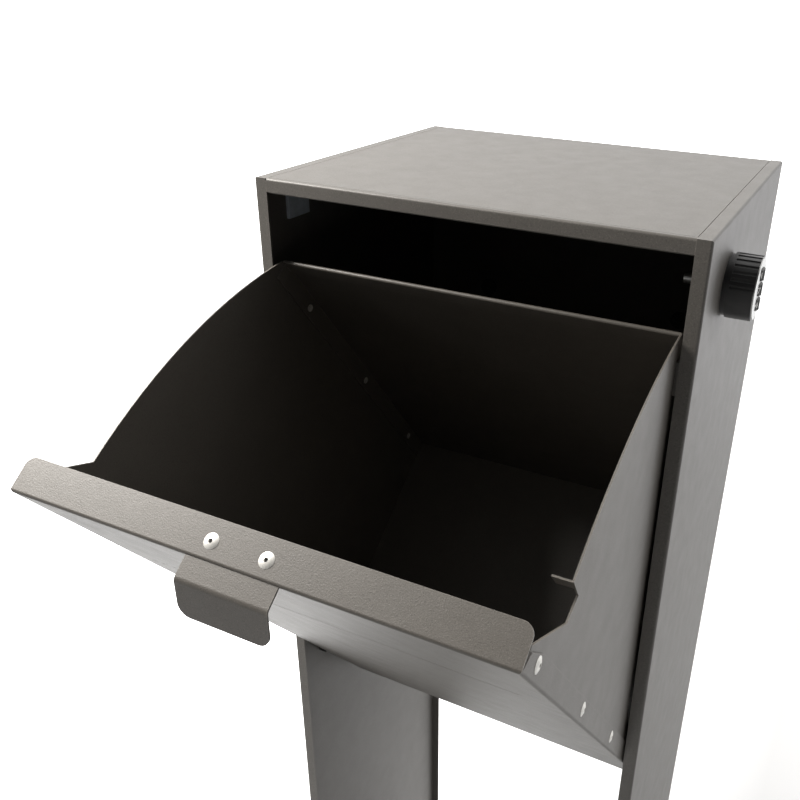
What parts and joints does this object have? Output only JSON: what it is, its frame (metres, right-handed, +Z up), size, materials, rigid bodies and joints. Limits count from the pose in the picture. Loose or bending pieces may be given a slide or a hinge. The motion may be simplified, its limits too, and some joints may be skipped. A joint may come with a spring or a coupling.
{
  "type": "parcel drop box",
  "caption": "Free-standing sheet-metal parcel drop box on side legs, with a tilting hopper front, riveted handle tab and combination cam lock.",
  "frame": {"origin": "on the ground, midway between the four anchor holes of the foot plates", "axes": "+X to the box's own right as seen from the front, the lock's side; +Y from the front to the back; +Z up"},
  "size_m": [0.3862, 0.5777, 1.15],
  "materials": {
    "cabinet_paint": "fine-texture powder coat, satin",
    "hopper_paint": "fine-texture powder coat, satin",
    "rivet_aluminium": "mill finish",
    "zinc_steel": "zinc plated",
    "bearing_plastic": "moulded, satin",
    "pad_plastic": "matt",
    "black_rubber": "matt",
    "lock_black": "fine-grain moulded, satin",
    "lock_silver": "satin anodised"
  },
  "bodies": {
    "cabinet": {"side_panel_left": "cabinet_paint", "side_panel_right": "cabinet_paint", "top_panel": "cabinet_paint", "header_rail": "cabinet_paint", "back_panel": "cabinet_paint", "foot_plate_left": "zinc_steel", "foot_plate_right": "zinc_steel", "foot_rivets": "rivet_aluminium", "top_rivets": "rivet_aluminium", "back_rivets": "rivet_aluminium", "pivot_block_left": "bearing_plastic", "pivot_block_right": "bearing_plastic", "pivot_block_nuts": "zinc_steel", "closing_buffers": "black_rubber", "side_pad": "pad_plastic", "lock_barrel": "lock_black", "lock_nut": "zinc_steel"},
    "hopper": {"hopper_front": "hopper_paint", "hopper_side_left": "hopper_paint", "hopper_side_right": "hopper_paint", "hopper_rear": "hopper_paint", "hopper_floor": "hopper_paint", "front_rivets": "rivet_aluminium", "rear_rivets": "rivet_aluminium", "floor_rivets": "rivet_aluminium", "handle_tab": "hopper_paint", "handle_rivets": "rivet_aluminium", "pivot_pins": "zinc_steel", "stop_brackets": "hopper_paint", "stop_pads": "black_rubber"},
    "lock_core": {"lock_knob": "lock_black", "lock_face": "lock_silver", "lock_spindle": "zinc_steel", "lock_cam": "zinc_steel", "cam_nut": "zinc_steel", "dial_axle": "zinc_steel"},
    "dial_upper": {"dial_upper": "lock_black"},
    "dial_middle": {"dial_middle": "lock_black"},
    "dial_lower": {"dial_lower": "lock_black"}
  },
  "joints": [
    {"name": "hopper_tilt", "type": "hinge", "parent": "cabinet", "child": "hopper", "pos_m": [0, -0.095, 0.648], "axis": [1, 0, 0], "range_deg": [-38.95, 0]},
    {"name": "lock_turn", "type": "hinge", "parent": "cabinet", "child": "lock_core", "pos_m": [0.18, -0.069, 1.098], "axis": [1, 0, 0], "range_deg": [0, 90]},
    {"name": "dial_upper_turn", "type": "hinge", "parent": "lock_core", "child": "dial_upper", "pos_m": [0.197, -0.069, 1.1092], "axis": [0, 0, 1], "continuous": true},
    {"name": "dial_middle_turn", "type": "hinge", "parent": "lock_core", "child": "dial_middle", "pos_m": [0.197, -0.069, 1.098], "axis": [0, 0, 1], "continuous": true},
    {"name": "dial_lower_turn", "type": "hinge", "parent": "lock_core", "child": "dial_lower", "pos_m": [0.197, -0.069, 1.0868], "axis": [0, 0, 1], "continuous": true}
  ]
}
